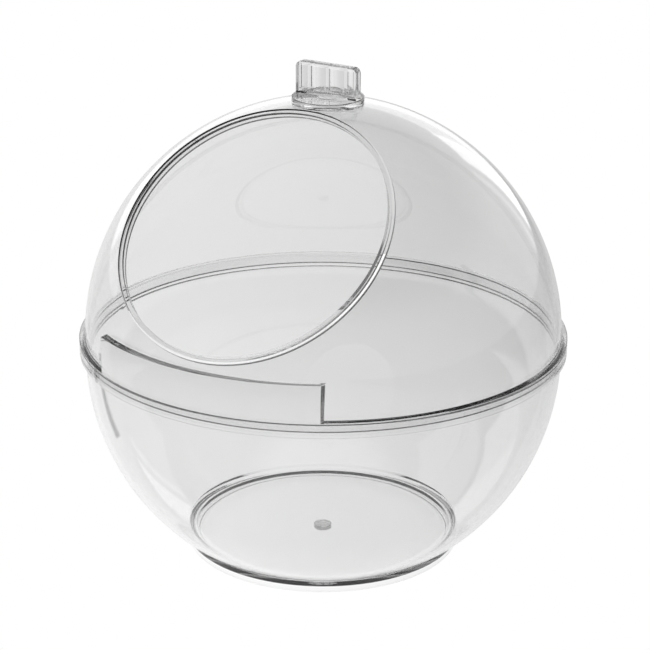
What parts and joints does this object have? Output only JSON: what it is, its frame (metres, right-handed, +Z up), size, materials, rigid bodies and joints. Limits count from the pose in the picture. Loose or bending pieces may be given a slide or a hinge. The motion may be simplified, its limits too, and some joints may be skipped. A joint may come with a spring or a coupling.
{
  "type": "candy bin with scoop lid",
  "caption": "Clear candy ball: a round bowl on a ring foot and a lift-off dome lid with a slanted round scoop opening, a ticket panel and a finger grip.",
  "frame": {"origin": "centre of the ring foot's resting face", "axes": "+Z up through the grip; the scoop opening and the ticket panel face -Y; +X to the right seen from the front"},
  "size_m": [0.3072, 0.3072, 0.3127],
  "materials": {
    "clear_san": "clear, polished as moulded"
  },
  "bodies": {
    "bowl": {"bowl": "clear_san"},
    "lid": {"dome_lid": "clear_san", "grip_knob": "clear_san"}
  },
  "joints": [
    {"name": "lid_lift", "type": "slide", "parent": "bowl", "child": "lid", "axis": [0, 0, 1], "range_m": [0, 0.12]}
  ]
}
